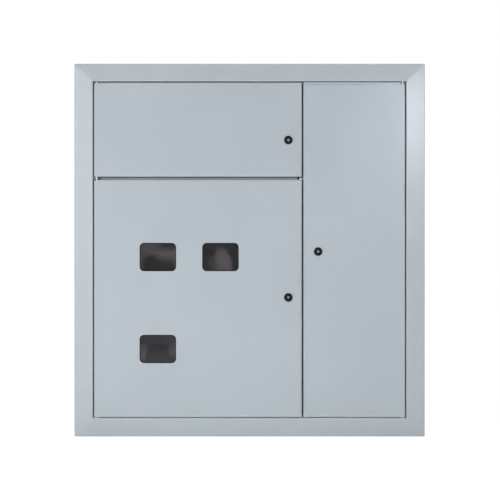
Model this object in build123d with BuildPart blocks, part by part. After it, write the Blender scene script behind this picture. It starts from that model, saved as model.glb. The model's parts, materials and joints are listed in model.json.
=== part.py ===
from build123d import *
import math
import os

# Recessed floor distribution board: folded sheet-steel box, mitred front frame and three doors.
# Millimetres. Origin at the middle of the back panel's rear face, +Z up, doors face -Y.
# A depth is a distance in front of the wall, so a plane at depth d lies at Y = -d.

# Overall sizes
frame_width = 940.0
frame_height = 1000.0
front_depth = 150.0
box_width = 890.0
box_height = 950.0

# Sheet thicknesses and bends
frame_sheet = 1.5
sheet = 1.2
plate_sheet = 1.5
outer_bend = 2.4
inner_bend = 1.2
frame_bend = inner_bend + frame_sheet

# Front frame: flange face, return to the wall, rebate and door stop
side_face = 50.0
top_face = 48.0
frame_return = 10.0
flange_slope = 3.0
rebate_depth = 22.0
stop_lip = 12.0
stop_depth = front_depth - rebate_depth
opening_x = frame_width / 2 - side_face
opening_top = frame_height / 2 - top_face
opening_bottom = -frame_height / 2 + side_face
lip_notch = 16.0

# Box walls
slope_drop = flange_slope * (box_width / 2 - outer_bend - opening_x) / side_face
wall_front = front_depth - frame_sheet - slope_drop - 0.05
wall_front_flange = 20.0
wall_rear_flange = 15.0
fixing_span_x = 700.0
fixing_span_z = 800.0
fixing_hole = 4.5

# Cable knockouts in the top and bottom walls
knockout_radius = 25.0
knockout_slot = 1.2
knockout_bridge = 5.0
knockouts_x = (-340.0, -240.0, -140.0, -40.0, 60.0, 220.0, 340.0)

# Compartment lines: the mullion's middle in X, the crossbar's middle in Z
mullion_x = 142.2
mullion_gap = 4.2
mullion_brim = 14.0
mullion_crown = 110.0
crossbar_z = 194.0
crossbar_height = 30.0
crossbar_return = 12.0
nose_depth = 142.0
nose_z = (188.6, 193.0)
nose_start = -397.0
nose_bend = 1.6
nose_foot = 0.4
nose_window = (4.6, 14.0)
nose_window_x = 130.8
nose_tip_start = 133.4
nose_tip_depth = 148.0
lap = 4.0
lug_width = 16.0
lug_sheet = 1.6

# Doors
door_return = 15.0
side_gap = 3.0
top_gap = 3.0
right_top_gap = 2.0
bottom_gap = 1.5
left_door_x = (-opening_x + side_gap, mullion_x - mullion_gap / 2 - 0.1)
right_door_x = (mullion_x + mullion_gap / 2, opening_x - side_gap)
door_top = opening_top - top_gap
door_bottom = opening_bottom + bottom_gap
upper_door_z = (nose_z[1] + 3.4, door_top)
lower_door_z = (door_bottom, nose_z[0] - 0.6)
right_door_z = (door_bottom, opening_top - right_top_gap)
corner_seam = 0.5
pin_notch_width = 12.0
pin_notch_depth = 4.0
pin_notch = 2.5
right_pin_notch = 6.7
crease_width = 1.3
crease_depth = 0.9
crease_drop = 6.5

# Hinge pins, standing this far in from the frame and behind the door's face
hinge_inset = 9.5
hinge_x = opening_x - hinge_inset
hinge_depth = front_depth - 7.0
pin_radius = 2.0
pin_hole = 2.05
pin_length = 30.0
pin_drop = 3.0
washer_radius = 5.0
washer_thickness = 1.2

# Quarter-turn triangular-key locks: their places on the doors and their sizes
upper_lock = (104.0, 295.0)
lower_lock = (104.0, -127.0)
right_lock = (184.0, -4.0)
lock_head_radius = 11.5
lock_head = 2.5
lock_body_radius = 10.0
lock_flat = 17.0
lock_length = 16.0
lock_recess_radius = 7.0
lock_recess = 4.0
lock_nut_radius = 13.5
lock_nut_height = 4.0
barrel_radius = 6.0
running_gap = 0.05
triangle_radius = 4.8
tail_width = 7.0
cam_depth = 126.0
cam_sheet = 2.5
cam_reach = 33.0
cam_hub = 9.0
cam_tip = 6.0
cam_screw_flange = (7.0, 1.2)
cam_screw_hexagon = (4.6, 3.5)

# Meter windows in the lower door
window_width = 98.0
window_height = 76.0
window_radius = 12.0
window_upper_z = -18.7
window_lower_z = -265.2
window_left_x = -246.0
window_right_x = -78.0
windows = [
    (window_left_x, window_upper_z),
    (window_right_x, window_upper_z),
    (window_left_x, window_lower_z),
]
pane_margin = 16.0
pane_corner = 6.0
pane_sheet = 2.0
stud_radius = 2.0
stud_length = 9.0
stud_nut_radius = 4.0
stud_nut_height = 3.2

# Fasteners
screw_radius = 2.5
screw_hole = 2.75
screw_head_radius = 4.6
screw_head = 3.0
screw_shank = 9.0
bracket_flange = 15.0

# Circuit-breaker equipment in the upper left compartment
left_middle_x = (left_door_x[0] + left_door_x[1]) / 2
module_width = 17.5
module_count = 18
module_slot_height = 46.0
breaker_rows = (265.0, 390.0)
cover_depth = 90.0
cover_return = 10.0
cover_x = (-415.0, 131.0)
cover_z = (203.0, 452.0)
pillar_radius = 5.0
rail_length = 350.0
rail_height = 35.0
rail_channel = 25.0
rail_depth = 7.5
rail_sheet = 1.0
rail_back = 39.7
support_reach = 150.0
support_x = [left_middle_x + side * support_reach - bracket_flange / 2 for side in (-1, 1)]
support_z = (212.0, 440.0)

# Meter equipment in the lower left compartment
meter_back = 58.0
meter_support_x = (-392.0, 76.0)
meter_support_z = (-430.0, 176.0)
meter_plate_x = (-396.0, 96.0)
meter_plates_z = ((1.5, 156.0), (-257.0, -100.0))

# Low-current equipment in the right compartment
signal_x = (176.0, 396.0)
signal_z = (-250.0, 250.0)
signal_back = 30.0
signal_rail_z = (-210.0, 210.0)
signal_rail_length = 270.0

# Terminal bars low in the meter compartment
bar_length = 150.0
bar_height = 12.0
bar_thickness = 7.0
bar_back = 26.0
bar_z = -392.0
neutral_bar_x = -270.0
earth_bar_x = -60.0
terminal_pitch = 15.0
terminal_count = 8
post_radius = 8.0


def facing(depth):
    """Upright plane at a depth in front of the wall, looking out: X right, Z up."""
    return Plane.XZ.offset(depth)


def level(height):
    """Level plane at a height, X right and Y towards the wall."""
    return Plane.XY.offset(height)


def across(x):
    """Plane across the board at an X, with Y as its first and Z as its second direction."""
    return Plane.YZ.offset(x)


def outward(direction):
    """Section plane of an edge member: first direction outwards, second towards the wall."""
    out = Vector(*direction)
    return Plane(origin=(0, 0, 0), x_dir=out, z_dir=out.cross(Vector(0, 1, 0)))


def folded(plane, path, bends, thickness, side, length, both=False):
    """A strip of sheet folded along a path and drawn out along the plane's normal."""
    with BuildPart() as strip:
        with BuildSketch(plane):
            with BuildLine():
                FilletPolyline(*path, radius=bends)
                offset(amount=thickness, side=side)
            make_face()
        extrude(amount=length, both=both)
    return strip.part


def finish(part, name):
    """Label a finished piece and write its file."""
    part.label = name
    export_step(part, f"parts/{name}.step")


def mitre(side_x, side_z, face_z, toward_side):
    """Mitre plane through a frame corner, facing the member that it trims."""
    turn = 1 if toward_side else -1
    corner = (side_x * frame_width / 2, 0, side_z * frame_height / 2)
    normal = (turn * side_x * face_z, 0, -turn * side_z * side_face)
    return Plane(origin=corner, z_dir=normal)


def frame_member(name, direction, half, face, trims, pin_places):
    """One mitred member of the front frame, with holes for the hinge pins it holds."""
    lip = stop_lip * face / side_face
    path = [
        (half, -front_depth + flange_slope + frame_return),
        (half, -front_depth + flange_slope),
        (half - face, -front_depth),
        (half - face, -stop_depth),
        (half - face - lip, -stop_depth),
    ]
    bends = [frame_bend, frame_bend, inner_bend]
    strip = folded(outward(direction), path, bends, frame_sheet, Side.RIGHT, frame_height / 2, both=True)
    with BuildPart() as member:
        add(strip)
        for plane in trims:
            split(bisect_by=plane, keep=Keep.TOP)
        for x, z in pin_places:
            with BuildSketch(level(z)):
                with Locations((x, -hinge_depth)):
                    Circle(pin_hole)
            extrude(amount=rebate_depth / 2, both=True, mode=Mode.SUBTRACT)
            # the stop lip is notched behind each pin
            with BuildSketch(facing(stop_depth + 1)):
                with Locations((math.copysign(opening_x, x), z)):
                    Rectangle(2 * lip_notch, 2 * (stop_lip + 1))
            extrude(amount=-frame_sheet - 1, mode=Mode.SUBTRACT)
    finish(member.part, name)


def box_wall(name, direction, half, reach, notched, knockouts):
    """One wall of the box, folded in at its front and rear edges."""
    path = [
        (half - wall_rear_flange, -sheet),
        (half, -sheet),
        (half, -wall_front),
        (half - wall_front_flange, -wall_front),
    ]
    strip = folded(outward(direction), path, [outer_bend, outer_bend], sheet, Side.RIGHT, reach, both=True)
    ends = box_width / 2 - wall_front_flange / 2
    with BuildPart() as wall:
        add(strip)
        if notched:
            # the flanges stop short of the side walls' own flanges
            with BuildSketch(level(0)):
                with Locations((-ends, -wall_front), (ends, -wall_front)):
                    Rectangle(wall_front_flange + 1, 3 * outer_bend)
                with Locations((-ends, -sheet), (ends, -sheet)):
                    Rectangle(wall_front_flange + 1, 3 * outer_bend)
            extrude(amount=box_height, both=True, mode=Mode.SUBTRACT)
        for x in knockouts:
            # two cut arcs hold each cable knockout by its bridges
            with BuildSketch(level(direction[2] * half)):
                with Locations((x, -wall_front / 2)):
                    Circle(knockout_radius)
                    Circle(knockout_radius - knockout_slot, mode=Mode.SUBTRACT)
                    Rectangle(2 * knockout_radius + 2, knockout_bridge, mode=Mode.SUBTRACT)
            extrude(amount=3 * sheet, both=True, mode=Mode.SUBTRACT)
    finish(wall.part, name)


def door(name, span_x, span_z, hinge_side_x, lock_place, notches, creased, windows):
    """A folded door pan with corner seams, notches and holes for its pins, lock hole and windows."""
    width = span_x[1] - span_x[0]
    height = span_z[1] - span_z[0]
    middle = ((span_x[0] + span_x[1]) / 2, (span_z[0] + span_z[1]) / 2)
    seam_x = width / 2 - sheet - corner_seam / 2
    seams = [
        (middle[0] + side * seam_x, middle[1] + end * height / 2)
        for side in (-1, 1)
        for end in (-1, 1)
    ]
    with BuildPart() as pan:
        with BuildSketch(facing(front_depth)):
            with Locations(middle):
                Rectangle(width, height)
        extrude(amount=-door_return)
        fillet(pan.faces().sort_by(Axis.Y)[0].edges(), outer_bend)
        offset(amount=-sheet, openings=pan.faces().sort_by(Axis.Y)[-1])
        # the returns meet in an open seam at each corner
        with BuildSketch(facing(front_depth - outer_bend)):
            with Locations(*seams):
                Rectangle(corner_seam, 2 * sheet)
        extrude(amount=-door_return, mode=Mode.SUBTRACT)
        # the skin is cut back at the corners where a pin goes in
        hinge_edge = span_x[1] if hinge_side_x > 0 else span_x[0]
        with BuildSketch(facing(front_depth)):
            for z, notch in notches:
                with Locations((hinge_edge, z)):
                    Rectangle(2 * pin_notch_width, 2 * notch)
        extrude(amount=-pin_notch_depth, mode=Mode.SUBTRACT)
        with BuildSketch(level(span_z[0])):
            with Locations((hinge_side_x, -hinge_depth)):
                Circle(pin_hole)
        extrude(amount=height, mode=Mode.SUBTRACT)
        if creased:
            with BuildSketch(facing(front_depth)):
                with Locations((span_x[0], span_z[1] - crease_drop)):
                    Rectangle(width - pin_notch_width, crease_width, align=(Align.MIN, Align.CENTER))
            extrude(amount=-crease_depth, mode=Mode.SUBTRACT)
        with BuildSketch(facing(front_depth)):
            with Locations(lock_place):
                Circle(lock_body_radius + 0.1)
                Rectangle(lock_flat + 0.2, 3 * lock_body_radius, mode=Mode.INTERSECT)
        extrude(amount=-2 * sheet, mode=Mode.SUBTRACT)
        if windows:
            with BuildSketch(facing(front_depth)):
                with Locations(*windows):
                    RectangleRounded(window_width, window_height, window_radius)
            extrude(amount=-2 * sheet, mode=Mode.SUBTRACT)
    finish(pan.part, name)


def lock_body(name, place):
    """Moulded lock housing: round head, flatted body through the door and a stepped bore."""
    with BuildPart() as housing:
        with BuildSketch(facing(front_depth)):
            with Locations(place):
                Circle(lock_head_radius)
        extrude(amount=lock_head)
        fillet(housing.edges().group_by(Axis.Y)[0], 1.2)
        with BuildSketch(facing(front_depth)):
            with Locations(place):
                Circle(lock_body_radius)
                Rectangle(lock_flat, 3 * lock_body_radius, mode=Mode.INTERSECT)
        extrude(amount=-lock_length)
        with BuildSketch(facing(front_depth + lock_head)):
            with Locations(place):
                Circle(lock_recess_radius)
        extrude(amount=-lock_recess, mode=Mode.SUBTRACT)
        with BuildSketch(facing(front_depth)):
            with Locations(place):
                Circle(barrel_radius + running_gap)
        extrude(amount=-2 * lock_length, mode=Mode.SUBTRACT)
    finish(housing.part, name)


def lock_nut(name, place):
    """Thin hexagon nut that clamps the housing against the back of the door."""
    with BuildPart() as nut:
        with BuildSketch(facing(front_depth - sheet)):
            with Locations(place):
                RegularPolygon(radius=lock_nut_radius, side_count=6)
                Circle(lock_body_radius + 0.1, mode=Mode.SUBTRACT)
        extrude(amount=-lock_nut_height)
    finish(nut.part, name)


def lock_driver(name, place, apex):
    """Turning core: triangular key stud, collar, barrel and the square tail behind it."""
    floor = front_depth + lock_head - lock_recess
    rear = front_depth - lock_length
    with BuildPart() as core:
        with BuildSketch(facing(floor + 0.1)):
            with Locations(place):
                Circle(lock_recess_radius - 0.4)
        extrude(amount=0.8)
        with BuildSketch(facing(floor + 0.1)):
            with Locations(Location(place, apex)):
                RegularPolygon(radius=triangle_radius, side_count=3)
        extrude(amount=lock_recess - 0.6)
        with BuildSketch(facing(floor + 0.1)):
            with Locations(place):
                Circle(barrel_radius)
        extrude(amount=rear + 0.5 - floor)
        with BuildSketch(facing(rear + 1)):
            with Locations(place):
                Rectangle(tail_width, tail_width)
        extrude(amount=cam_depth - cam_sheet - rear - 1)
    finish(core.part, name)


def lock_cam(name, place):
    """Cam plate hanging from the square tail, narrower towards its rounded tip."""
    x, z = place
    tip_z = z - cam_reach + cam_tip
    with BuildPart() as cam:
        with BuildSketch(facing(cam_depth)):
            with BuildSketch():
                with Locations((x, z)):
                    Circle(cam_hub)
                with Locations((x, tip_z)):
                    Circle(cam_tip)
                make_hull()
            with Locations((x, z)):
                Rectangle(tail_width + 0.1, tail_width + 0.1, mode=Mode.SUBTRACT)
        extrude(amount=-cam_sheet)
    finish(cam.part, name)


def cam_screw(name, place):
    """Flanged hexagon screw that holds the cam on the tail."""
    rear = cam_depth - cam_sheet
    with BuildPart() as screw:
        with BuildSketch(facing(rear)):
            with Locations(place):
                Circle(cam_screw_flange[0])
        extrude(amount=-cam_screw_flange[1])
        with BuildSketch(facing(rear - cam_screw_flange[1])):
            with Locations(place):
                RegularPolygon(radius=cam_screw_hexagon[0], side_count=6)
        extrude(amount=-cam_screw_hexagon[1])
    finish(screw.part, name)


def window_pane(name, place):
    """Clear rounded plate behind a window, held by a stud near each corner."""
    with BuildPart() as pane:
        with BuildSketch(facing(front_depth - sheet)):
            with Locations(place):
                RectangleRounded(window_width + 2 * pane_margin, window_height + 2 * pane_margin, pane_corner)
            with Locations(*stud_places(place)):
                Circle(stud_radius + 0.3, mode=Mode.SUBTRACT)
        extrude(amount=-pane_sheet)
    finish(pane.part, name)


def stud_places(place):
    """The four stud centres round a window."""
    reach_x = window_width / 2 + pane_margin / 2
    reach_z = window_height / 2 + pane_margin / 2
    return [(place[0] + a * reach_x, place[1] + b * reach_z) for a in (-1, 1) for b in (-1, 1)]


def z_support(name, x, span_z, back, hole_heights):
    """Upright Z-section support, its rear flange on the back panel."""
    path = [
        (x - bracket_flange, -sheet),
        (x, -sheet),
        (x, -back + sheet),
        (x + bracket_flange, -back + sheet),
    ]
    strip = folded(level(span_z[0]), path, [outer_bend, inner_bend], sheet, Side.RIGHT, span_z[1] - span_z[0])
    with BuildPart() as support:
        add(strip)
        with BuildSketch(facing(back)):
            with Locations(*[(x + bracket_flange / 2, z) for z in hole_heights]):
                Circle(screw_hole)
        extrude(amount=-2 * sheet, mode=Mode.SUBTRACT)
    finish(support.part, name)


def din_rail(name, row_z):
    """Top-hat rail with a row of slots along its crown."""
    front = rail_back + rail_depth
    crown = rail_back + rail_sheet
    path = [
        (-front, row_z - rail_height / 2),
        (-front, row_z - rail_channel / 2),
        (-crown, row_z - rail_channel / 2),
        (-crown, row_z + rail_channel / 2),
        (-front, row_z + rail_channel / 2),
        (-front, row_z + rail_height / 2),
    ]
    bends = [1.4, 0.4, 0.4, 1.4]
    start = left_middle_x - rail_length / 2
    strip = folded(across(start), path, bends, rail_sheet, Side.RIGHT, rail_length)
    slot_pitch = 25.0
    slots = [(left_middle_x + slot_pitch * step, row_z) for step in range(-6, 7)]
    with BuildPart() as rail:
        add(strip)
        with BuildSketch(facing(crown)):
            with Locations(*slots):
                SlotOverall(15, 6.2)
        extrude(amount=-2 * rail_sheet, mode=Mode.SUBTRACT)
    finish(rail.part, name)


def meter_plate(name, span_z, meters_x):
    """Flat mounting plate with a hanging slot and two foot slots for each meter."""
    with BuildPart() as plate:
        with BuildSketch(facing(meter_back)):
            with Locations(((meter_plate_x[0] + meter_plate_x[1]) / 2, (span_z[0] + span_z[1]) / 2)):
                RectangleRounded(meter_plate_x[1] - meter_plate_x[0], span_z[1] - span_z[0], 3)
            for x in meters_x:
                with Locations(Location((x, span_z[1] - 30), 90)):
                    SlotOverall(30, 5.5, mode=Mode.SUBTRACT)
                with Locations((x - 40, span_z[0] + 45), (x + 40, span_z[0] + 45)):
                    SlotOverall(22, 5.5, mode=Mode.SUBTRACT)
            with Locations(*plate_holes(span_z)):
                Circle(screw_hole, mode=Mode.SUBTRACT)
        extrude(amount=plate_sheet)
    finish(plate.part, name)


def plate_holes(span_z):
    """Screw places of a meter plate, on the two supports."""
    return [
        (x + bracket_flange / 2, z)
        for x in meter_support_x
        for z in (span_z[0] + 15, span_z[1] - 15)
    ]


def signal_rail(name, z):
    """Level U-section rail across the right compartment."""
    path = [
        (-sheet, z - 15),
        (-sheet, z),
        (-signal_back + sheet, z),
        (-signal_back + sheet, z + 15),
    ]
    strip = folded(
        across(mullion_x + 16), path, [outer_bend, inner_bend], sheet, Side.LEFT, signal_rail_length
    )
    with BuildPart() as rail:
        add(strip)
        with BuildSketch(facing(signal_back)):
            with Locations((signal_x[0] + 12, z + 8), (signal_x[1] - 12, z + 8)):
                Circle(screw_hole)
        extrude(amount=-2 * sheet, mode=Mode.SUBTRACT)
    finish(rail.part, name)


def terminal_bar(name, middle_x):
    """Square-edged bar with cable bores and a clamping screw hole over each."""
    first = middle_x - terminal_pitch * (terminal_count - 1) / 2
    places = [(first + terminal_pitch * step, bar_z) for step in range(terminal_count)]
    with BuildPart() as bar:
        with BuildSketch(facing(bar_back)):
            with Locations((middle_x, bar_z)):
                Rectangle(bar_length, bar_height)
        extrude(amount=bar_thickness)
        chamfer(bar.edges().filter_by(Axis.X), 0.6)
        with BuildSketch(level(bar_z)):
            with Locations(*[(x, -bar_back - bar_thickness / 2) for x, _ in places]):
                Circle(2.6)
        extrude(amount=bar_height, both=True, mode=Mode.SUBTRACT)
        with BuildSketch(facing(bar_back + bar_thickness)):
            with Locations(*places):
                Circle(2.1)
        extrude(amount=-bar_thickness / 2, mode=Mode.SUBTRACT)
    finish(bar.part, name)


def insulating_posts(name, middle_x):
    """Two waisted insulating posts that stand the bar off the back panel."""
    with BuildPart() as posts:
        for x in (middle_x - bar_length / 2 + 12, middle_x + bar_length / 2 - 12):
            axis_plane = Plane(origin=(x, 0, bar_z), x_dir=(1, 0, 0), z_dir=(0, 0, 1))
            with BuildSketch(axis_plane):
                with BuildLine():
                    Polyline(
                        (0, -sheet),
                        (post_radius, -sheet),
                        (post_radius, -sheet - 4),
                        (post_radius - 2, -sheet - 7),
                        (post_radius - 2, -bar_back + 4),
                        (post_radius, -bar_back + 2),
                        (post_radius, -bar_back),
                        (0, -bar_back),
                        close=True,
                    )
                make_face()
            revolve(axis=Axis((x, 0, bar_z), (0, 1, 0)))
    finish(posts.part, name)


os.makedirs("parts", exist_ok=True)

# Back panel with its four wall fixings
with BuildPart() as back_panel:
    with BuildSketch(facing(0)):
        Rectangle(box_width, box_height)
        with GridLocations(fixing_span_x, fixing_span_z, 2, 2):
            Circle(fixing_hole, mode=Mode.SUBTRACT)
    extrude(amount=sheet)
finish(back_panel.part, "back_panel")

# Box walls
box_wall("side_wall_left", (-1, 0, 0), box_width / 2, box_height / 2, False, ())
box_wall("side_wall_right", (1, 0, 0), box_width / 2, box_height / 2, False, ())
box_wall("top_wall", (0, 0, 1), box_height / 2, box_width / 2 - sheet, True, knockouts_x)
box_wall("bottom_wall", (0, 0, -1), box_height / 2, box_width / 2 - sheet, True, knockouts_x)

# Mitred front frame
for side_x, side_name in ((-1, "left"), (1, "right")):
    side_trims = [mitre(side_x, 1, top_face, True), mitre(side_x, -1, side_face, True)]
    frame_member(f"frame_{side_name}", (side_x, 0, 0), frame_width / 2, side_face, side_trims, [])
for side_z, side_name, face in ((1, "top", top_face), (-1, "bottom", side_face)):
    end_trims = [mitre(-1, side_z, face, False), mitre(1, side_z, face, False)]
    inner_z = side_z * (frame_height / 2 - face)
    pin_places = [(-hinge_x, inner_z), (hinge_x, inner_z)]
    frame_member(f"frame_{side_name}", (0, 0, side_z), frame_height / 2, face, end_trims, pin_places)

# Mullion between the left and right doors: a folded channel with a flat stop strip welded along each side
mullion_left = mullion_x - mullion_gap / 2
mullion_right = mullion_x + mullion_gap / 2
mullion_path = [
    (mullion_left, -stop_depth),
    (mullion_left, -mullion_crown),
    (mullion_right, -mullion_crown),
    (mullion_right, -stop_depth),
]
channel_strip = folded(
    level(opening_bottom), mullion_path, [inner_bend, inner_bend], sheet, Side.LEFT, opening_top - opening_bottom
)
lips = (stop_lip, stop_lip * top_face / side_face)
with BuildPart() as channel:
    add(channel_strip)
    # at both ends the channel makes way for the frame's stop lips
    for end_z, lip in ((opening_bottom, lips[0]), (opening_top, lips[1])):
        with BuildSketch(facing(stop_depth + 1)):
            with Locations((mullion_x, end_z)):
                Rectangle(4 * mullion_brim, 2 * lip + 0.2)
        extrude(amount=-frame_sheet - 1.2, mode=Mode.SUBTRACT)
mullion_solids = [channel.part.solid()]
for edge_x in (mullion_left - mullion_brim, mullion_right + sheet):
    with BuildPart() as stop_strip:
        with BuildSketch(level(opening_bottom + lips[0] + 0.1)):
            with Locations((edge_x, -stop_depth)):
                Rectangle(mullion_brim - sheet, sheet, align=(Align.MIN, Align.MIN))
        extrude(amount=opening_top - opening_bottom - sum(lips) - 0.2)
    mullion_solids.append(stop_strip.part.solid())
finish(Compound(children=mullion_solids), "mullion")

# Crossbar between the left doors: a shallow channel with a folded nose that stands between them
crossbar_bottom = crossbar_z - crossbar_height / 2
crossbar_top = crossbar_z + crossbar_height / 2
crossbar_start = -opening_x + stop_lip + 0.3
crossbar_shoulder = mullion_left - mullion_brim - 0.3
nose_end = mullion_right - 0.4
nose_path, nose_tip_path = [
    [(-stop_depth, nose_z[0]), (-depth, nose_z[0]), (-depth, nose_z[1]), (-stop_depth, nose_z[1])]
    for depth in (nose_depth, nose_tip_depth)
]
crossbar_path = [
    (-stop_depth + crossbar_return, crossbar_bottom),
    (-stop_depth, crossbar_bottom),
    *nose_path,
    (-stop_depth, crossbar_top),
    (-stop_depth + crossbar_return, crossbar_top),
]
crossbar_bends = [outer_bend, nose_foot, nose_bend, nose_bend, nose_foot, outer_bend]
crossbar_length = crossbar_shoulder - crossbar_start
crossbar_strip = folded(
    across(crossbar_start), crossbar_path, crossbar_bends, sheet, Side.RIGHT, crossbar_length
)
nose_strip = folded(
    across(crossbar_shoulder - lap), nose_path, [nose_bend, nose_bend],
    sheet, Side.RIGHT, nose_end - crossbar_shoulder + lap
)
nose_tip = folded(
    across(nose_tip_start), nose_tip_path, [nose_bend, nose_bend], sheet, Side.RIGHT, nose_end - nose_tip_start
)
with BuildPart() as crossbar:
    add(crossbar_strip)
    add(nose_strip)
    add(nose_tip)
    # a lap runs on over the mullion's near brim, above and below the nose
    with BuildSketch(facing(stop_depth)):
        with Locations((crossbar_shoulder - lap, crossbar_z)):
            Rectangle(
                mullion_left - 2 - crossbar_shoulder + lap, crossbar_height - 2 * outer_bend,
                align=(Align.MIN, Align.CENTER)
            )
    extrude(amount=sheet)
    # the nose starts clear of the middle pin, and a window is punched near its other end
    with BuildSketch(facing(nose_depth)):
        with Locations((nose_start, crossbar_z)):
            Rectangle(2 * lug_width, crossbar_height, align=(Align.MAX, Align.CENTER))
        with Locations((nose_window_x, (nose_z[0] + nose_z[1]) / 2)):
            Rectangle(*nose_window)
    extrude(amount=stop_depth + sheet - nose_depth, mode=Mode.SUBTRACT)
finish(crossbar.part, "crossbar")

# Upright partition behind the mullion and the shelf behind the crossbar, with cable slots
partition_strip = folded(
    level(-box_height / 2 + sheet),
    [(mullion_x + 14.5, -sheet), (mullion_x + 0.5, -sheet), (mullion_x + 0.5, sheet - mullion_crown)],
    [outer_bend], sheet, Side.LEFT, box_height - 2 * sheet,
)
with BuildPart() as partition:
    add(partition_strip)
    with BuildSketch(across(mullion_x)):
        with Locations(*[Location((-52, z), 90) for z in (330, 60, -330)]):
            SlotOverall(110, 50)
    extrude(amount=4 * sheet, mode=Mode.SUBTRACT)
    # the flanges of the top and bottom walls pass here
    with BuildSketch(across(mullion_x)):
        with Locations((-sheet, box_height / 2), (-sheet, -box_height / 2)):
            Rectangle(4 * sheet + 1, 2 * wall_rear_flange + 2)
    extrude(amount=6 * outer_bend + 2, mode=Mode.SUBTRACT)
finish(partition.part, "partition")

shelf_left = -box_width / 2 + sheet
shelf_right = mullion_x + 0.4
shelf_strip = folded(
    across(shelf_left),
    [(-sheet, crossbar_z - 14), (-sheet, crossbar_z), (-stop_depth + 2, crossbar_z)],
    [outer_bend], sheet, Side.LEFT, shelf_right - shelf_left,
)
with BuildPart() as shelf:
    add(shelf_strip)
    with BuildSketch(level(crossbar_z)):
        with Locations(((mullion_left - mullion_brim - 0.5 + shelf_right) / 2, -stop_depth)):
            Rectangle(shelf_right - mullion_left + mullion_brim + 0.5, 2 * (stop_depth - mullion_crown) + 4)
        with Locations((-300, -58), (-60, -58)):
            SlotOverall(140, 50)
    extrude(amount=2 * sheet, both=True, mode=Mode.SUBTRACT)
    # the side wall's rear flange passes here
    with BuildSketch(level(crossbar_z)):
        with Locations((shelf_left, -sheet)):
            Rectangle(2 * wall_rear_flange + 2, 4 * sheet + 1)
    extrude(amount=20, both=True, mode=Mode.SUBTRACT)
finish(shelf.part, "shelf")

# Breaker rails on two upright supports
z_support("rail_support_left", support_x[0], support_z, rail_back, breaker_rows)
z_support("rail_support_right", support_x[1], support_z, rail_back, breaker_rows)
din_rail("din_rail_lower", breaker_rows[0])
din_rail("din_rail_upper", breaker_rows[1])

# Cover plate over the breakers, on four pillars
cover_screws = [(x, z) for x in (cover_x[0] + 18, cover_x[1] - 18) for z in (cover_z[0] + 14, cover_z[1] - 14)]
cover_strip = folded(
    across(cover_x[0]),
    [
        (-cover_depth + cover_return, cover_z[0]),
        (-cover_depth, cover_z[0]),
        (-cover_depth, cover_z[1]),
        (-cover_depth + cover_return, cover_z[1]),
    ],
    [outer_bend, outer_bend], sheet, Side.RIGHT, cover_x[1] - cover_x[0],
)
with BuildPart() as breaker_cover:
    add(cover_strip)
    with BuildSketch(facing(cover_depth)):
        with Locations(*[(left_middle_x, z) for z in breaker_rows]):
            RectangleRounded(module_width * module_count + 4, module_slot_height, 2)
        with Locations(*cover_screws):
            Circle(screw_hole)
    extrude(amount=-2 * sheet, mode=Mode.SUBTRACT)
finish(breaker_cover.part, "breaker_cover")

with BuildPart() as cover_pillars:
    with BuildSketch(facing(sheet)):
        with Locations(*cover_screws):
            Circle(pillar_radius)
    extrude(amount=cover_depth - 2 * sheet)
    with BuildSketch(facing(cover_depth - sheet)):
        with Locations(*cover_screws):
            Circle(screw_hole)
    extrude(amount=-screw_shank, mode=Mode.SUBTRACT)
finish(cover_pillars.part, "cover_pillars")

# Meter plates on two upright supports
meter_holes = [z for span in meter_plates_z for z in (span[0] + 15, span[1] - 15)]
z_support("meter_support_left", meter_support_x[0], meter_support_z, meter_back, meter_holes)
z_support("meter_support_right", meter_support_x[1], meter_support_z, meter_back, meter_holes)
meter_plate("meter_plate_upper", meter_plates_z[0], (window_left_x, window_right_x))
meter_plate("meter_plate_lower", meter_plates_z[1], (window_left_x,))

# Perforated plate for low-current equipment on two level rails
signal_rail("signal_rail_lower", signal_rail_z[0])
signal_rail("signal_rail_upper", signal_rail_z[1])
signal_middle = ((signal_x[0] + signal_x[1]) / 2, (signal_z[0] + signal_z[1]) / 2)
signal_screws = [(x, z + 8) for x in (signal_x[0] + 12, signal_x[1] - 12) for z in signal_rail_z]
with BuildPart() as signal_plate:
    with BuildSketch(facing(signal_back)):
        with Locations(signal_middle):
            RectangleRounded(signal_x[1] - signal_x[0], signal_z[1] - signal_z[0], 4)
            with GridLocations(40, 50, 4, 8):
                SlotOverall(22, 6, mode=Mode.SUBTRACT)
        with Locations(*signal_screws):
            Circle(screw_hole, mode=Mode.SUBTRACT)
    extrude(amount=plate_sheet)
finish(signal_plate.part, "signal_plate")

# Pan-head screws that hold the rails, plates and cover
rail_screws = [(x + bracket_flange / 2, z) for x in support_x for z in breaker_rows]
meter_screws = [place for span in meter_plates_z for place in plate_holes(span)]
screw_sets = [
    (rail_back + rail_sheet, rail_screws),
    (cover_depth, cover_screws),
    (meter_back + plate_sheet, meter_screws),
    (signal_back + plate_sheet, signal_screws),
]
with BuildPart() as panel_screws:
    for seat, places in screw_sets:
        with BuildSketch(facing(seat)):
            with Locations(*places):
                Circle(screw_head_radius)
        extrude(amount=screw_head)
        with BuildSketch(facing(seat)):
            with Locations(*places):
                Circle(screw_radius)
        extrude(amount=-screw_shank)
finish(panel_screws.part, "panel_screws")

# Neutral and earth bars on insulating posts
terminal_bar("neutral_bar", neutral_bar_x)
terminal_bar("earth_bar", earth_bar_x)
insulating_posts("neutral_posts", neutral_bar_x)
insulating_posts("earth_posts", earth_bar_x)
with BuildPart() as terminal_screws:
    for middle_x in (neutral_bar_x, earth_bar_x):
        first = middle_x - terminal_pitch * (terminal_count - 1) / 2
        places = [(first + terminal_pitch * step, bar_z) for step in range(terminal_count)]
        with BuildSketch(facing(bar_back + bar_thickness / 2 + 1)):
            with Locations(*places):
                Circle(2.0)
        extrude(amount=bar_thickness / 2 + 1.5)
finish(terminal_screws.part, "terminal_screws")

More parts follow.
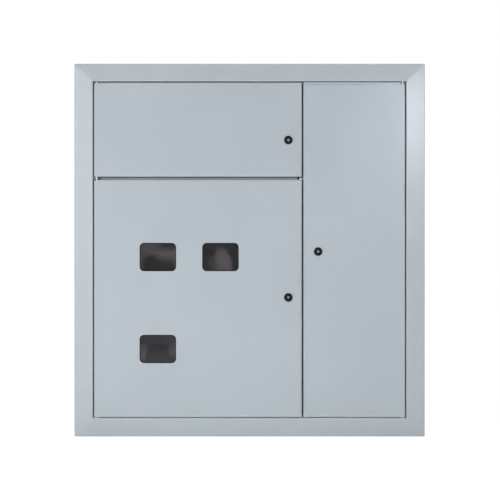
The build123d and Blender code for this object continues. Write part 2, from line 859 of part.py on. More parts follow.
# Earth stud welded to the back panel, with its washer-faced nuts
earth_place = (116.0, bar_z)
with BuildPart() as earth_stud:
    with BuildSketch(facing(sheet)):
        with Locations(earth_place):
            Circle(4)
    extrude(amount=28)
    chamfer(earth_stud.edges().group_by(Axis.Y)[0], 0.8)
finish(earth_stud.part, "earth_stud")
with BuildPart() as earth_nuts:
    for seat in (sheet, sheet + 12):
        with BuildSketch(facing(seat)):
            with Locations(earth_place):
                Circle(9)
                Circle(4.1, mode=Mode.SUBTRACT)
        extrude(amount=1.6)
        with BuildSketch(facing(seat + 1.6)):
            with Locations(earth_place):
                RegularPolygon(radius=7.5, side_count=6)
                Circle(4.1, mode=Mode.SUBTRACT)
        extrude(amount=6)
finish(earth_nuts.part, "earth_nuts")

# Doors
upper_notches = [(door_top, pin_notch), (upper_door_z[0], pin_notch)]
lower_notches = [(lower_door_z[1], pin_notch)]
right_notches = [(right_door_z[1], right_pin_notch)]
door("upper_door", left_door_x, upper_door_z, -hinge_x, upper_lock, upper_notches, False, [])
door("lower_door", left_door_x, lower_door_z, -hinge_x, lower_lock, lower_notches, False, windows)
door("right_door", right_door_x, right_door_z, hinge_x, right_lock, right_notches, True, [])

# Hinge pins: plain dowels in the frame and its lug, and the washers under the doors
lug_top = upper_door_z[0] - washer_thickness - 0.2
pin_middles = [
    (-hinge_x, opening_top - pin_drop),
    (-hinge_x, lug_top - pin_drop),
    (-hinge_x, opening_bottom),
    (hinge_x, opening_top - pin_drop),
    (hinge_x, opening_bottom),
]
with BuildPart() as hinge_pins:
    for x, z in pin_middles:
        with BuildSketch(level(z)):
            with Locations((x, -hinge_depth)):
                Circle(pin_radius)
        extrude(amount=pin_length / 2, both=True)
finish(hinge_pins.part, "hinge_pins")

washer_seats = [
    (-hinge_x, lug_top),
    (-hinge_x, opening_bottom),
    (hinge_x, opening_bottom),
]
hinge_washers = []
for x, z in washer_seats:
    with BuildPart() as washer:
        with BuildSketch(level(z)):
            with Locations((x, -hinge_depth)):
                Circle(washer_radius)
                Circle(pin_hole, mode=Mode.SUBTRACT)
        extrude(amount=washer_thickness)
    hinge_washers.append(washer.part.solid())
finish(Compound(children=hinge_washers), "hinge_washers")

# Lug on the frame's left member that carries the middle pin between the two left doors
with BuildPart() as hinge_lug:
    with BuildSketch(level(lug_top)):
        with Locations((-opening_x + lug_width / 4, -hinge_depth)):
            Rectangle(lug_width / 2, 10)
        with Locations((-hinge_x, -hinge_depth)):
            Circle(washer_radius)
            Circle(pin_hole, mode=Mode.SUBTRACT)
    extrude(amount=-lug_sheet)
finish(hinge_lug.part, "hinge_lug")

# Locks: housing and nut on the door, core, cam and screw turning in them
for lock_name, place, apex in (
    ("upper", upper_lock, -90),
    ("lower", lower_lock, -90),
    ("right", right_lock, 0),
):
    lock_body(f"{lock_name}_lock_body", place)
    lock_nut(f"{lock_name}_lock_nut", place)
    lock_driver(f"{lock_name}_lock_driver", place, apex)
    lock_cam(f"{lock_name}_lock_cam", place)
    cam_screw(f"{lock_name}_cam_screw", place)

# Panes behind the windows, on studs with nuts
window_pane("window_pane_left", windows[0])
window_pane("window_pane_right", windows[1])
window_pane("window_pane_lower", windows[2])
all_studs = [stud for place in windows for stud in stud_places(place)]
with BuildPart() as pane_studs:
    with BuildSketch(facing(front_depth - sheet)):
        with Locations(*all_studs):
            Circle(stud_radius)
    extrude(amount=-stud_length)
finish(pane_studs.part, "pane_studs")
with BuildPart() as pane_nuts:
    with BuildSketch(facing(front_depth - sheet - pane_sheet)):
        with Locations(*all_studs):
            RegularPolygon(radius=stud_nut_radius, side_count=6)
            Circle(stud_radius + 0.1, mode=Mode.SUBTRACT)
    extrude(amount=-stud_nut_height)
finish(pane_nuts.part, "pane_nuts")
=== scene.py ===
import json
import math

import bmesh
import bpy
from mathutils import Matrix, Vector


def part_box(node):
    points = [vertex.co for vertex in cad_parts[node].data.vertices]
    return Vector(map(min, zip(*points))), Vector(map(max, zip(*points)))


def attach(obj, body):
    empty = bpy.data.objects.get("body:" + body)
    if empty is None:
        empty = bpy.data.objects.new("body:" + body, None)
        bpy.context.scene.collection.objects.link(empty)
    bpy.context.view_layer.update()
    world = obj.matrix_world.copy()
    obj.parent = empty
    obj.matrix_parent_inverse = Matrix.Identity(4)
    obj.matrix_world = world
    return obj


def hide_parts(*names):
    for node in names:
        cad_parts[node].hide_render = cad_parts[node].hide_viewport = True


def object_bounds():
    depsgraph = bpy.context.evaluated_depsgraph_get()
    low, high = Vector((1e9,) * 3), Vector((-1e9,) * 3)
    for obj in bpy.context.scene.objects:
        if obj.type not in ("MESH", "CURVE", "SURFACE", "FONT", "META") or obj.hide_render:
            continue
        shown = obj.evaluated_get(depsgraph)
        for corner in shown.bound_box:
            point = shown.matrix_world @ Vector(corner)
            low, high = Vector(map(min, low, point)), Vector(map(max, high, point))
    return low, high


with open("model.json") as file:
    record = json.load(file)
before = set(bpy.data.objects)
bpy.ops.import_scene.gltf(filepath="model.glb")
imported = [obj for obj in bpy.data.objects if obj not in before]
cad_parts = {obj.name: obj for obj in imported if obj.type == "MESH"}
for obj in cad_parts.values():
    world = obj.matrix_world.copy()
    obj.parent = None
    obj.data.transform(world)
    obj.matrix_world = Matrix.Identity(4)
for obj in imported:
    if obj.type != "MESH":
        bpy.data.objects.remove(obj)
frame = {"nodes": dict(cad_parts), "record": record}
cad_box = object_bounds()

# Metres. The board stands upright, +Z up, its doors face -Y and the wall is at Y = 0.
MM = 0.001
nodes = frame["nodes"]
record = frame["record"]
FRONT = -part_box("frame_left")[0].y
TOWARD_VIEWER = Vector((0.0, -1.0, 0.0))
SHARP_ANGLE = math.radians(32)
WHITE = (1.0, 1.0, 1.0, 1.0)
# Dark pane tint: painted shade that darkens the inside of the box as seen through the windows
SMOKE_AND_PAINTED_SHADE = (0.28, 0.26, 0.27, 1.0)
HAZE = (0.38, 0.33, 0.34, 1.0)
SURFACE_OUTPUTS = ["Height", "Roughness", "Tone"]


# Shader building

def new_tree(material):
    """Empty the material's node tree and return it."""
    material.use_nodes = True
    material.node_tree.nodes.clear()
    return material.node_tree


def place_node(tree, kind, inputs=None, **settings):
    """Add a node, set its options and fill its sockets with values or links."""
    node = tree.nodes.new(kind)
    for setting, value in settings.items():
        setattr(node, setting, value)
    for socket, value in (inputs or {}).items():
        if isinstance(value, bpy.types.NodeSocket):
            tree.links.new(value, node.inputs[socket])
        else:
            node.inputs[socket].default_value = value
    return node


def calculate(tree, operation, first, second=0.0):
    """One arithmetic step; returns its result socket."""
    return place_node(tree, "ShaderNodeMath", {0: first, 1: second}, operation=operation).outputs[0]


def remap(tree, value, given, wanted):
    """Map a value range on to another, clamped; returns its result socket."""
    sockets = {
        "Value": value, "From Min": given[0], "From Max": given[1], "To Min": wanted[0], "To Max": wanted[1],
    }
    return place_node(tree, "ShaderNodeMapRange", sockets).outputs["Result"]


def object_coordinates(tree, stretch=(1.0, 1.0, 1.0)):
    """Object coordinates, stretched along an axis where a pattern runs that way."""
    source = place_node(tree, "ShaderNodeTexCoord").outputs["Object"]
    if tuple(stretch) == (1.0, 1.0, 1.0):
        return source
    return place_node(tree, "ShaderNodeMapping", {"Vector": source, "Scale": stretch}).outputs["Vector"]


def mix_shaders(tree, share, first, second):
    """Two shaders mixed by a share of the second; returns the shader socket."""
    return place_node(tree, "ShaderNodeMixShader", {0: share, 1: first, 2: second}).outputs["Shader"]


def noise(tree, vector, scale, detail=2.0, rough=0.5):
    """Noise value between 0 and 1."""
    sockets = {"Vector": vector, "Scale": scale, "Detail": detail, "Roughness": rough}
    return place_node(tree, "ShaderNodeTexNoise", sockets).outputs["Fac"]


def start_group(name, inputs):
    """A shader group with named number inputs, and with height, roughness and tone as its outputs."""
    group = bpy.data.node_groups.new(name, "ShaderNodeTree")
    for label, value in inputs:
        socket = group.interface.new_socket(label, in_out="INPUT", socket_type="NodeSocketFloat")
        socket.default_value = value
    for label in SURFACE_OUTPUTS:
        group.interface.new_socket(label, in_out="OUTPUT", socket_type="NodeSocketFloat")
    return group, group.nodes.new("NodeGroupInput"), group.nodes.new("NodeGroupOutput")


def finish_group(group, given, result, height, shift, tone):
    """Join a group's outputs; its roughness is the given gloss plus a small shift."""
    group.links.new(height, result.inputs["Height"])
    group.links.new(calculate(group, "ADD", given.outputs["Gloss"], shift), result.inputs["Roughness"])
    group.links.new(tone, result.inputs["Tone"])
    return group


def blend(tree, first, share, second):
    """A share of the first value and the rest of the second."""
    most = calculate(tree, "MULTIPLY", first, share)
    rest = calculate(tree, "MULTIPLY", second, 1.0 - share)
    return calculate(tree, "ADD", most, rest)


def powder_texture_group():
    """Baked powder coat: fine orange peel, cloudy film thickness and a faint gloss change."""
    group, given, result = start_group(
        "powder_texture", [("Peel Scale", 420.0), ("Cloud Scale", 6.0), ("Gloss", 0.4)]
    )
    spot = object_coordinates(group)
    peel_scale = given.outputs["Peel Scale"]
    peel = noise(group, spot, peel_scale, detail=3.0, rough=0.55)
    cloud = noise(group, spot, given.outputs["Cloud Scale"], detail=3.0)
    speck = noise(group, spot, calculate(group, "MULTIPLY", peel_scale, 3.0), detail=1.0)
    shift = remap(group, cloud, (0.3, 0.7), (-0.03, 0.03))
    tone = remap(group, blend(group, cloud, 0.7, speck), (0.3, 0.7), (0.0, 1.0))
    return finish_group(group, given, result, peel, shift, tone)


def spangle_group():
    """Zinc crystals: flat cells of differing brightness with fine rolling lines over them."""
    group, given, result = start_group("zinc_spangle", [("Crystal Scale", 90.0), ("Gloss", 0.36)])
    spot = object_coordinates(group)
    bent = noise(group, spot, 60.0)
    bend = place_node(group, "ShaderNodeVectorMath", {0: spot}, operation="ADD")
    push = place_node(group, "ShaderNodeVectorMath", {0: (0.006, 0.006, 0.006)}, operation="SCALE")
    group.links.new(bent, push.inputs["Scale"])
    group.links.new(push.outputs["Vector"], bend.inputs[1])
    crystals = {"Vector": bend.outputs["Vector"], "Scale": given.outputs["Crystal Scale"]}
    cells = place_node(group, "ShaderNodeTexVoronoi", crystals)
    cell = place_node(group, "ShaderNodeSeparateColor", {"Color": cells.outputs["Color"]}).outputs["Red"]
    lines = noise(group, object_coordinates(group, (1.0, 1.0, 0.02)), 900.0)
    shift = remap(group, cell, (0.0, 1.0), (-0.07, 0.07))
    return finish_group(group, given, result, lines, shift, blend(group, cell, 0.75, lines))


def worked_metal_group():
    """Turned or drawn metal: fine lines across the axis, and a dulling blotch here and there."""
    group, given, result = start_group("worked_metal", [("Line Scale", 1500.0), ("Gloss", 0.3)])
    spot = object_coordinates(group)
    lines = noise(group, object_coordinates(group, (0.08, 1.0, 0.08)), given.outputs["Line Scale"])
    blotch = noise(group, spot, 140.0, detail=3.0, rough=0.6)
    shift = remap(group, blotch, (0.3, 0.7), (-0.05, 0.09))
    tone = remap(group, blotch, (0.25, 0.75), (0.0, 1.0))
    return finish_group(group, given, result, lines, shift, tone)


def moulded_group():
    """Moulded plastic: eroded grain with smoother, shinier islands."""
    group, given, result = start_group("moulded_grain", [("Grain Scale", 1200.0), ("Gloss", 0.35)])
    spot = object_coordinates(group)
    grain = noise(group, spot, given.outputs["Grain Scale"], detail=3.0, rough=0.6)
    flow = noise(group, spot, 90.0)
    shift = remap(group, flow, (0.3, 0.7), (-0.05, 0.05))
    tone = remap(group, grain, (0.3, 0.7), (0.0, 1.0))
    return finish_group(group, given, result, grain, shift, tone)


GROUPS = {
    "powder": powder_texture_group(),
    "spangle": spangle_group(),
    "worked": worked_metal_group(),
    "moulded": moulded_group(),
}


# Materials

def surface_material(name, texture, dark, light, relief, gloss=None, metal=0.0, specular=0.5):
    """A finish from one texture group: its tone mixes two colours, its height drives a bump."""
    material = bpy.data.materials.new(name)
    tree = new_tree(material)
    effect = place_node(tree, "ShaderNodeGroup", node_tree=GROUPS[texture])
    if gloss is not None:
        effect.inputs["Gloss"].default_value = gloss
    tones = {"Factor": effect.outputs["Tone"], 6: (*dark, 1.0), 7: (*light, 1.0)}
    colour = place_node(tree, "ShaderNodeMix", tones, data_type="RGBA")
    relief_map = {"Height": effect.outputs["Height"], "Strength": 1.0, "Distance": relief}
    bump = place_node(tree, "ShaderNodeBump", relief_map)
    shader = place_node(tree, "ShaderNodeBsdfPrincipled", {
        "Base Color": colour.outputs[2],
        "Roughness": effect.outputs["Roughness"],
        "Normal": bump.outputs["Normal"],
        "Metallic": metal,
        "Specular IOR Level": specular,
    })
    place_node(tree, "ShaderNodeOutputMaterial", {"Surface": shader.outputs["BSDF"]})
    return material


def clear_material(name):
    """Smoked clear acrylic with a faint dusty haze; shadow rays pass straight through it. Its dark tint is
    painted shade that darkens the view into the box.
    """
    material = bpy.data.materials.new(name)
    tree = new_tree(material)
    acrylic = place_node(tree, "ShaderNodeBsdfPrincipled", {
        "Base Color": SMOKE_AND_PAINTED_SHADE,
        "Roughness": 0.03,
        "IOR": 1.49,
        "Transmission Weight": 1.0,
        "Specular IOR Level": 0.2,
    })
    through = place_node(tree, "ShaderNodeBsdfTransparent", {"Color": SMOKE_AND_PAINTED_SHADE})
    dust = place_node(tree, "ShaderNodeBsdfDiffuse", {"Color": HAZE})
    cloud = remap(tree, noise(tree, object_coordinates(tree), 15.0), (0.46, 0.68), (0.0, 0.17))
    hazy = mix_shaders(tree, cloud, acrylic.outputs["BSDF"], dust.outputs["BSDF"])
    shadow_ray = place_node(tree, "ShaderNodeLightPath").outputs["Is Shadow Ray"]
    mixed = mix_shaders(tree, shadow_ray, hazy, through.outputs["BSDF"])
    place_node(tree, "ShaderNodeOutputMaterial", {"Surface": mixed})
    return material


def grey_powder(name, gloss):
    """The board's light grey-blue powder coat at a given gloss."""
    return surface_material(name, "powder", (0.418, 0.462, 0.500), (0.436, 0.481, 0.520), 0.03 * MM, gloss)


def metal_finish(name, texture, dark, light, relief=0.004 * MM, gloss=None, metal=1.0):
    """A metal finish with a very fine relief."""
    return surface_material(name, texture, dark, light, relief, gloss, metal)


def moulding(name, dark, light, gloss=None, specular=0.5):
    """A moulded plastic in one colour."""
    return surface_material(name, "moulded", dark, light, 0.01 * MM, gloss, specular=specular)


MATERIALS = {
    "painted_sheet": grey_powder("powder_coat", gloss=0.33),
    "cover_paint": grey_powder("powder_coat_cover", gloss=0.46),
    "zinc_sheet": metal_finish("galvanised_sheet", "spangle", (0.42, 0.43, 0.44), (0.62, 0.63, 0.64)),
    "zinc_hardware": metal_finish("zinc_plated", "worked", (0.55, 0.56, 0.57), (0.78, 0.78, 0.77)),
    "black_plastic": moulding(
        "black_moulding", (0.007, 0.007, 0.009), (0.013, 0.013, 0.016), gloss=0.3, specular=0.12
    ),
    "brass": metal_finish("drawn_brass", "worked", (0.62, 0.44, 0.17), (0.80, 0.61, 0.27), gloss=0.26),
    "blue_plastic": moulding("blue_moulding", (0.03, 0.12, 0.42), (0.04, 0.15, 0.50)),
    "green_plastic": moulding("green_moulding", (0.05, 0.28, 0.09), (0.07, 0.36, 0.12)),
    "clear_plastic": clear_material("clear_acrylic"),
}

# Finishes of single pieces that differ from the rest of their slot
# Dark blue-grey sheet for the meter plates and the crease strip: darker than the galvanised sheet as painted
# shade inside the box and in the crease
BLUE_SHEET_PAINTED_SHADE = metal_finish("blue_sheet_painted_shade", "spangle", (0.17, 0.22, 0.29), (0.25, 0.32, 0.41))
BRIGHT_PIN = metal_finish(
    "bright_pin", "worked", (0.93, 0.94, 0.95), (0.98, 0.98, 0.98), relief=0.002 * MM, gloss=0.55
)
DULL_STEEL = metal_finish(
    "dull_steel", "worked", (0.22, 0.22, 0.25), (0.34, 0.34, 0.38), gloss=0.4, metal=0.9
)
SPECIAL = {"meter_plate_upper": BLUE_SHEET_PAINTED_SHADE, "meter_plate_lower": BLUE_SHEET_PAINTED_SHADE, "hinge_pins": BRIGHT_PIN}

for subpart in record["subparts"]:
    node = subpart["node"]
    materials = nodes[node].data.materials
    materials.clear()
    materials.append(SPECIAL.get(node, MATERIALS[subpart["material_slot"]]))


# Detailed pieces

def keep_piece(name, bm, slot, body, *replaced, finish=None):
    """Make a piece of the board from a bmesh: its finish, its body and the nodes that it stands for."""
    bmesh.ops.remove_doubles(bm, verts=bm.verts, dist=0.005 * MM)
    bmesh.ops.recalc_face_normals(bm, faces=bm.faces)
    for face in bm.faces:
        face.smooth = True
    mesh = bpy.data.meshes.new(name)
    bm.to_mesh(mesh)
    bm.free()
    mesh.set_sharp_from_angle(angle=SHARP_ANGLE)
    mesh.materials.append(finish or MATERIALS[slot])
    piece = bpy.data.objects.new(name, mesh)
    bpy.context.scene.collection.objects.link(piece)
    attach(piece, body)
    if replaced:
        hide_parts(*replaced)


def join_rings(bm, rings):
    """Faces between each ring of vertices and the next."""
    for near, far in zip(rings, rings[1:]):
        for step in range(len(near)):
            bm.faces.new((near[step - 1], near[step], far[step], far[step - 1]))


def loose_boxes(node):
    """Lowest and highest corner of each separate solid in a node, in the frame."""
    bm = bmesh.new()
    bm.from_mesh(nodes[node].data)
    bm.transform(nodes[node].matrix_world)
    bmesh.ops.remove_doubles(bm, verts=bm.verts, dist=0.01 * MM)
    waiting = set(bm.verts)
    boxes = []
    while waiting:
        reached = [waiting.pop()]
        for vert in reached:
            for edge in vert.link_edges:
                other = edge.other_vert(vert)
                if other in waiting:
                    waiting.remove(other)
                    reached.append(other)
        low = Vector([min(vert.co[axis] for vert in reached) for axis in range(3)])
        high = Vector([max(vert.co[axis] for vert in reached) for axis in range(3)])
        boxes.append((low, high))
    bm.free()
    return sorted(boxes, key=lambda box: tuple(box[0]))


def front_middle(box):
    """Middle of a box's front face."""
    low, high = box
    return Vector(((low.x + high.x) / 2, low.y, (low.z + high.z) / 2))


def turned(bm, base, axis, profile, steps=32):
    """Turn a profile of (radius, height) in millimetres about an axis through a point."""
    side = axis.orthogonal().normalized()
    verts = [bm.verts.new(base + side * radius * MM + axis * height * MM) for radius, height in profile]
    edges = [bm.edges.new(pair) for pair in zip(verts, verts[1:])]
    bmesh.ops.spin(
        bm, geom=verts + edges, cent=base, axis=axis, angle=math.tau, steps=steps, use_merge=True
    )


def socket_face(bm, middle, rim, outline, depth, taper, steps=32):
    """A flat head face, looking at the viewer, with a tapered socket sunk into its middle."""
    ring = [
        bm.verts.new(middle + Vector((math.cos(turn), 0.0, math.sin(turn))) * rim * MM)
        for turn in (math.tau * step / steps for step in range(steps))
    ]
    mouth = [bm.verts.new(middle + Vector((u, 0.0, v)) * MM) for u, v in outline]
    bottom = [
        bm.verts.new(middle + Vector((u * taper, depth, v * taper)) * MM) for u, v in outline
    ]
    ring_edges = [bm.edges.new((vert, ring[step - 1])) for step, vert in enumerate(ring)]
    mouth_edges = [bm.edges.new((vert, mouth[step - 1])) for step, vert in enumerate(mouth)]
    bmesh.ops.triangle_fill(bm, edges=ring_edges + mouth_edges, use_beauty=True, normal=TOWARD_VIEWER)
    for step in range(len(outline)):
        bm.faces.new((mouth[step - 1], mouth[step], bottom[step], bottom[step - 1]))
    bm.faces.new(bottom)


def cross_outline(arm, half):
    """Outline of a cross recess: arm length and half the arm's width."""
    return [
        (arm, half), (half, half), (half, arm), (-half, arm), (-half, half), (-arm, half),
        (-arm, -half), (-half, -half), (-half, -arm), (half, -arm), (half, -half), (arm, -half),
    ]


def turned_outline(outline, turn):
    """An outline turned about its middle, so that screws don't all stand alike."""
    along, across = math.cos(turn), math.sin(turn)
    return [(u * along - v * across, u * across + v * along) for u, v in outline]


def screw_set(node, rim, radius, height, outline, depth, taper):
    """Screws with a rounded head and a driver socket, standing for a node's plain ones.

    rim is the flat top's radius, radius and height are the head's, depth and taper the socket's.
    """
    bm = bmesh.new()
    for place, box in enumerate(loose_boxes(node)):
        top = front_middle(box)
        length = (box[1].y - box[0].y) / MM
        shank = 0.54 * radius
        profile = []
        for step in range(5):
            turn = step * math.pi / 8
            profile.append((rim + (radius - rim) * math.sin(turn), -0.6 * height * (1 - math.cos(turn))))
        profile += [(radius, -height), (shank, -height), (shank, 0.6 - length)]
        profile += [(shank - 0.5, -length), (0.0, -length)]
        turned(bm, top, TOWARD_VIEWER, profile)
        socket_face(bm, top, rim, turned_outline(outline, 0.7 * place), depth, taper)
    keep_piece(node.replace("_screws", "_screw_set"), bm, "zinc_hardware", "enclosure", node)


def hex_nuts(name, node, body, radius, hole, facets=12):
    """Hexagon nuts with chamfered corners, standing for a node's plain ones."""
    bm = bmesh.new()
    for low, high in loose_boxes(node):
        middle = (low + high) / 2
        half = (high.y - low.y) / 2
        flat = radius * math.cos(math.pi / 6)
        rings = []
        for end in (-1, 1):
            shapes = [(hole, 0.0, hole), (flat * 0.97, 0.0, flat * 0.97), (radius, 0.16 * radius, flat)]
            rings.append([
                [
                    bm.verts.new(middle + Vector((
                        math.cos(step * math.tau / facets) * (corner if step % 2 == 0 else side) * MM,
                        end * (half - (drop * MM if step % 2 == 0 else 0.02 * MM)),
                        math.sin(step * math.tau / facets) * (corner if step % 2 == 0 else side) * MM,
                    )))
                    for step in range(facets)
                ]
                for corner, drop, side in shapes
            ])
        loops = rings[0] + rings[1][::-1]
        join_rings(bm, loops + loops[:1])
    keep_piece(name, bm, "zinc_hardware", body, node)


def lock_housing(side):
    """A moulded lock housing: rounded head, pocket round the triangle and a threaded body."""
    node = side + "_lock_body"
    low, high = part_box(node)
    head_radius = 11.5
    head = 2.5
    corner = 1.4
    pocket = 7.0
    pocket_depth = 4.0
    body_radius = 10.0
    bore = 6.05
    length = (high.y - low.y) / MM
    top = front_middle((low, high))
    profile = [(bore, -length), (bore, -pocket_depth), (pocket - 0.4, -pocket_depth)]
    profile += [(pocket, 0.4 - pocket_depth), (pocket, -0.5), (pocket + 0.15, -0.15), (pocket + 0.5, 0.0)]
    for step in range(1, 7):
        turn = step * math.pi / 12
        profile.append((head_radius - corner + corner * math.sin(turn), -corner * (1 - math.cos(turn))))
    profile += [(head_radius, -head), (body_radius, -head)]
    depth = head + 1.0
    while depth < length - 1.0:
        profile += [(body_radius, -depth), (body_radius - 0.55, -depth - 0.5)]
        depth += 1.0
    profile += [(body_radius - 0.6, -length), (bore, -length)]
    bm = bmesh.new()
    turned(bm, top, TOWARD_VIEWER, profile, 64)
    keep_piece(side + "_lock_housing", bm, "black_plastic", side + "_door", node)


def lock_core(side, apex):
    """The dark turning core at the bottom of the pocket, with its bright triangular stud and square tail."""
    node = side + "_lock_driver"
    low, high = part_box(node)
    stud = 2.6
    collar = 0.8
    collar_radius = 6.6
    barrel_radius = 6.0
    barrel_end = 17.5
    tail = 7.0
    top = front_middle((low, high))
    bm = bmesh.new()
    turned(bm, top, TOWARD_VIEWER, [
        (0.0, -stud), (collar_radius - 0.3, -stud), (collar_radius, -stud - 0.3),
        (collar_radius, -stud - collar), (barrel_radius, -stud - collar), (barrel_radius, -barrel_end),
        (0.0, -barrel_end),
    ])
    keep_piece(side + "_lock_core", bm, "black_plastic", side + "_cam", node)
    bm = bmesh.new()
    rings = []
    for reach, depth in ((4.8, stud + 0.2), (4.8, 0.3), (4.4, 0.0)):
        ring = []
        for corner in range(3):
            for turn in (-30, -10, 10, 30):
                out = math.radians(apex + 120 * corner)
                bend = math.radians(apex + 120 * corner + 2 * turn)
                spot = Vector((math.cos(out), 0.0, math.sin(out))) * (reach - 0.8)
                spot += Vector((math.cos(bend), 0.0, math.sin(bend))) * 0.6
                ring.append(bm.verts.new(top + spot * MM + Vector((0.0, depth * MM, 0.0))))
        rings.append(ring)
    join_rings(bm, rings)
    bm.faces.new(rings[-1])
    bm.faces.new(rings[0][::-1])
    rear = (high.y - low.y) / MM
    x, y, z = top / MM
    block(bm, (x - tail / 2, y + barrel_end, z - tail / 2), (x + tail / 2, y + rear, z + tail / 2))
    keep_piece(side + "_key_stud", bm, "zinc_hardware", side + "_cam", finish=DULL_STEEL)


def rounded_outline(middle, width, height, radius, steps=8):
    """Points round an upright rounded rectangle."""
    points = []
    for corner, (side, end) in enumerate(((1, 1), (-1, 1), (-1, -1), (1, -1))):
        for step in range(steps + 1):
            turn = (corner + step / steps) * math.pi / 2
            points.append(middle + Vector((
                side * (width / 2 - radius) + radius * math.cos(turn), 0.0,
                end * (height / 2 - radius) + radius * math.sin(turn),
            )) * MM)
    return points


def window_lips(width, height, radius, lip, rise):
    """Black rubber lips round the three windows, seated on the panes inside the cut edges of the door."""
    bm = bmesh.new()
    for pane in ("window_pane_left", "window_pane_right", "window_pane_lower"):
        middle = front_middle(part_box(pane))
        rings = []
        crown = (0.3 * lip, rise + 0.15)
        for inset, proud in ((0.0, 0.0), (0.0, rise), crown, (lip, 0.35 * rise), (lip, 0.0)):
            points = rounded_outline(middle, width - 2 * inset, height - 2 * inset, radius - inset)
            rings.append([bm.verts.new(point + TOWARD_VIEWER * proud * MM) for point in points])
        join_rings(bm, rings + rings[:1])
    keep_piece("window_lips", bm, "black_plastic", "lower_door")


def block(bm, low, high):
    """A rectangular block between two corners given in millimetres."""
    verts = bmesh.ops.create_cube(bm, size=1.0)["verts"]
    low, high = Vector(low) * MM, Vector(high) * MM
    bmesh.ops.scale(bm, verts=verts, vec=high - low)
    bmesh.ops.translate(bm, verts=verts, vec=(low + high) / 2)


def painted_shade_trim():
    """Dark blocks as painted shade: a black block fills the nose's punched slot, and a dark strip lies in
    the right door's crease as its shaded line.
    """
    bm = bmesh.new()
    # Painted shade: a black block filling the slot, dark where the slot is in shade
    block(bm, (128.6, -144.0, 188.9), (132.9, -130.0, 195.9))
    keep_piece("nose_slot_shade_block", bm, "black_plastic", "enclosure")
    bm = bmesh.new()
    # Painted shade: a dark strip along the crease, drawn as its shaded line
    block(bm, (144.8, -149.75, 442.9), (405.2, -149.15, 444.1))
    keep_piece("crease_shade_strip", bm, "black_plastic", "right_door", finish=BLUE_SHEET_PAINTED_SHADE)


def nose_rivet(x, z, radius):
    """The domed rivet on the tip of the crossbar's nose."""
    bm = bmesh.new()
    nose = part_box("crossbar")[0].y
    base = Vector((x * MM, nose, z * MM))
    rise = 0.6 * radius
    turns = [step * math.pi / 10 for step in range(5)]
    dome = [(radius * math.cos(turn), rise * math.sin(turn)) for turn in turns]
    turned(bm, base, TOWARD_VIEWER, [(0.0, 0.0)] + dome + [(0.0, rise)])
    keep_piece("nose_rivet", bm, "zinc_hardware", "enclosure", finish=BRIGHT_PIN)


CROSS_RECESS = cross_outline(arm=2.4, half=0.55)
SLOT = [(1.5, 0.3), (-1.5, 0.3), (-1.5, -0.3), (1.5, -0.3)]
screw_set("panel_screws", rim=3.0, radius=4.6, height=3.0, outline=CROSS_RECESS, depth=2.0, taper=0.6)
screw_set("terminal_screws", rim=1.6, radius=2.0, height=2.2, outline=SLOT, depth=1.0, taper=1.0)
hex_nuts("pane_nut_set", "pane_nuts", "lower_door", radius=4.0, hole=2.1)
for side in ("upper", "lower", "right"):
    lock_housing(side)
    lock_core(side, apex=0 if side == "right" else -90)
    hex_nuts(side + "_lock_ring", side + "_lock_nut", side + "_door", radius=13.5, hole=10.1)
nose_rivet(x=135.4, z=190.8, radius=1.8)
window_lips(width=98.0, height=76.0, radius=12.0, lip=2.2, rise=0.7)
painted_shade_trim()


# Stage, camera and lights

def stage_material(glow, share):
    """Pale floor: nearly white to the camera and through the panes, and it keeps the board's shadow."""
    material = bpy.data.materials.new("pale_floor")
    tree = new_tree(material)
    paint = {"Base Color": (0.9, 0.9, 0.9, 1.0), "Roughness": 0.9}
    diffuse = place_node(tree, "ShaderNodeBsdfPrincipled", paint)
    white = place_node(tree, "ShaderNodeEmission", {"Color": WHITE, "Strength": glow})
    path = place_node(tree, "ShaderNodeLightPath")
    seen = calculate(tree, "MAXIMUM", path.outputs["Is Camera Ray"], path.outputs["Is Transmission Ray"])
    amount = calculate(tree, "MULTIPLY", seen, share)
    mixed = mix_shaders(tree, amount, diffuse.outputs["BSDF"], white.outputs["Emission"])
    place_node(tree, "ShaderNodeOutputMaterial", {"Surface": mixed})
    return material


def lay_floor(reach):
    """A wide square floor under the board's lower edge."""
    bm = bmesh.new()
    bmesh.ops.create_grid(bm, x_segments=1, y_segments=1, size=reach)
    bmesh.ops.translate(bm, verts=bm.verts, vec=(0.0, 0.0, cad_box[0][2]))
    mesh = bpy.data.meshes.new("studio_floor")
    bm.to_mesh(mesh)
    bm.free()
    floor = bpy.data.objects.new("studio_floor", mesh)
    bpy.context.scene.collection.objects.link(floor)
    floor.data.materials.append(stage_material(glow=1.07, share=0.9))


def light_world(studio, backdrop):
    """White to the camera; a white backdrop behind the board and a dimmer studio before it."""
    world = bpy.data.worlds.new("studio")
    bpy.context.scene.world = world
    tree = new_tree(world)
    direction = place_node(tree, "ShaderNodeTexCoord").outputs["Generated"]
    toward_wall = place_node(tree, "ShaderNodeSeparateXYZ", {"Vector": direction}).outputs["Y"]
    level = remap(tree, toward_wall, (-0.05, 0.25), (studio, backdrop))
    seen = place_node(tree, "ShaderNodeLightPath")
    rays = calculate(tree, "MAXIMUM", seen.outputs["Is Camera Ray"], seen.outputs["Is Transmission Ray"])
    lit = place_node(tree, "ShaderNodeBackground", {"Color": (0.95, 0.98, 1.0, 1.0), "Strength": level})
    white = place_node(tree, "ShaderNodeBackground", {"Color": WHITE, "Strength": 1.0})
    mixed = mix_shaders(tree, rays, lit.outputs["Background"], white.outputs["Background"])
    place_node(tree, "ShaderNodeOutputWorld", {"Surface": mixed})


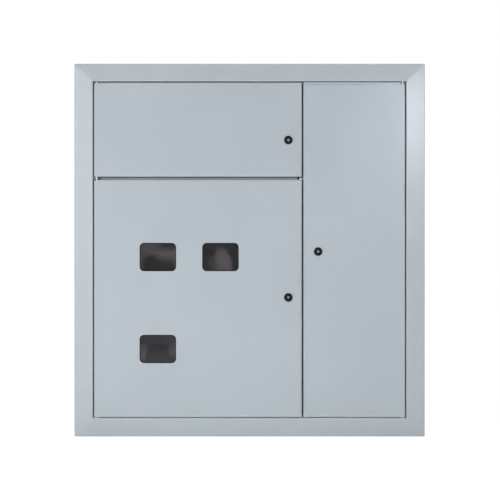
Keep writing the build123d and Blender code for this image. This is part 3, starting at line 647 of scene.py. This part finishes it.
def softbox(name, place, target, width, height, watts, colour=(1.0, 1.0, 1.0)):
    """A rectangular area light aimed at a point."""
    lamp = bpy.data.lights.new(name, "AREA")
    lamp.shape = "RECTANGLE"
    lamp.size = width
    lamp.size_y = height
    lamp.energy = watts
    lamp.color = colour
    holder = bpy.data.objects.new(name, lamp)
    bpy.context.scene.collection.objects.link(holder)
    holder.location = place
    holder.rotation_euler = (Vector(target) - Vector(place)).to_track_quat("-Z", "Y").to_euler()
    return holder


def place_camera(distance, view_width, middle_x, middle_z):
    """Camera square on to the front, showing view_width metres across the picture."""
    lens = bpy.data.cameras.new("front_camera")
    lens.sensor_width = 36.0
    lens.lens = lens.sensor_width * distance / view_width
    lens.clip_end = 100.0
    camera = bpy.data.objects.new("front_camera", lens)
    bpy.context.scene.collection.objects.link(camera)
    camera.location = (middle_x, -FRONT - distance, middle_z)
    camera.rotation_euler = (math.pi / 2, 0.0, 0.0)
    bpy.context.scene.camera = camera


bpy.context.scene.view_settings.view_transform = "Standard"
lay_floor(12.0)
light_world(studio=0.3, backdrop=1.0)

# Each lamp: place, the point it looks at, width, height, watts
softbox("key_box", (-1.9, -3.9, 0.8), (0.0, -0.15, 0.0), 1.0, 1.4, 45.5)
softbox("right_box", (2.4, -3.0, 0.9), (0.3, -0.15, 0.0), 0.8, 1.6, 11.5)
softbox("top_box", (0.0, -1.8, 2.8), (0.0, -0.1, 0.0), 1.6, 1.0, 15.0)
floor_box = softbox("floor_box", (-0.2, -1.1, 1.8), (-0.2, -1.0, -0.5), 1.6, 0.8, 7.0)
floor_box.data.spread = math.radians(60)

# Cards that show only as a sheen on the side flanges
CARD_COLOUR = (0.88, 0.94, 1.0)
for card in (
    softbox("glow_right", (0.73, -1.52, 0.45), (0.44, -0.15, 0.35), 0.18, 0.22, 6.0, CARD_COLOUR),
    softbox("glow_left", (-2.0, -3.9, 0.35), (-0.44, -0.15, 0.1), 0.5, 0.9, 26.0, CARD_COLOUR),
):
    card.visible_diffuse = False
place_camera(distance=5.0, view_width=1.3405, middle_x=1.17 * MM, middle_z=0.17 * MM)
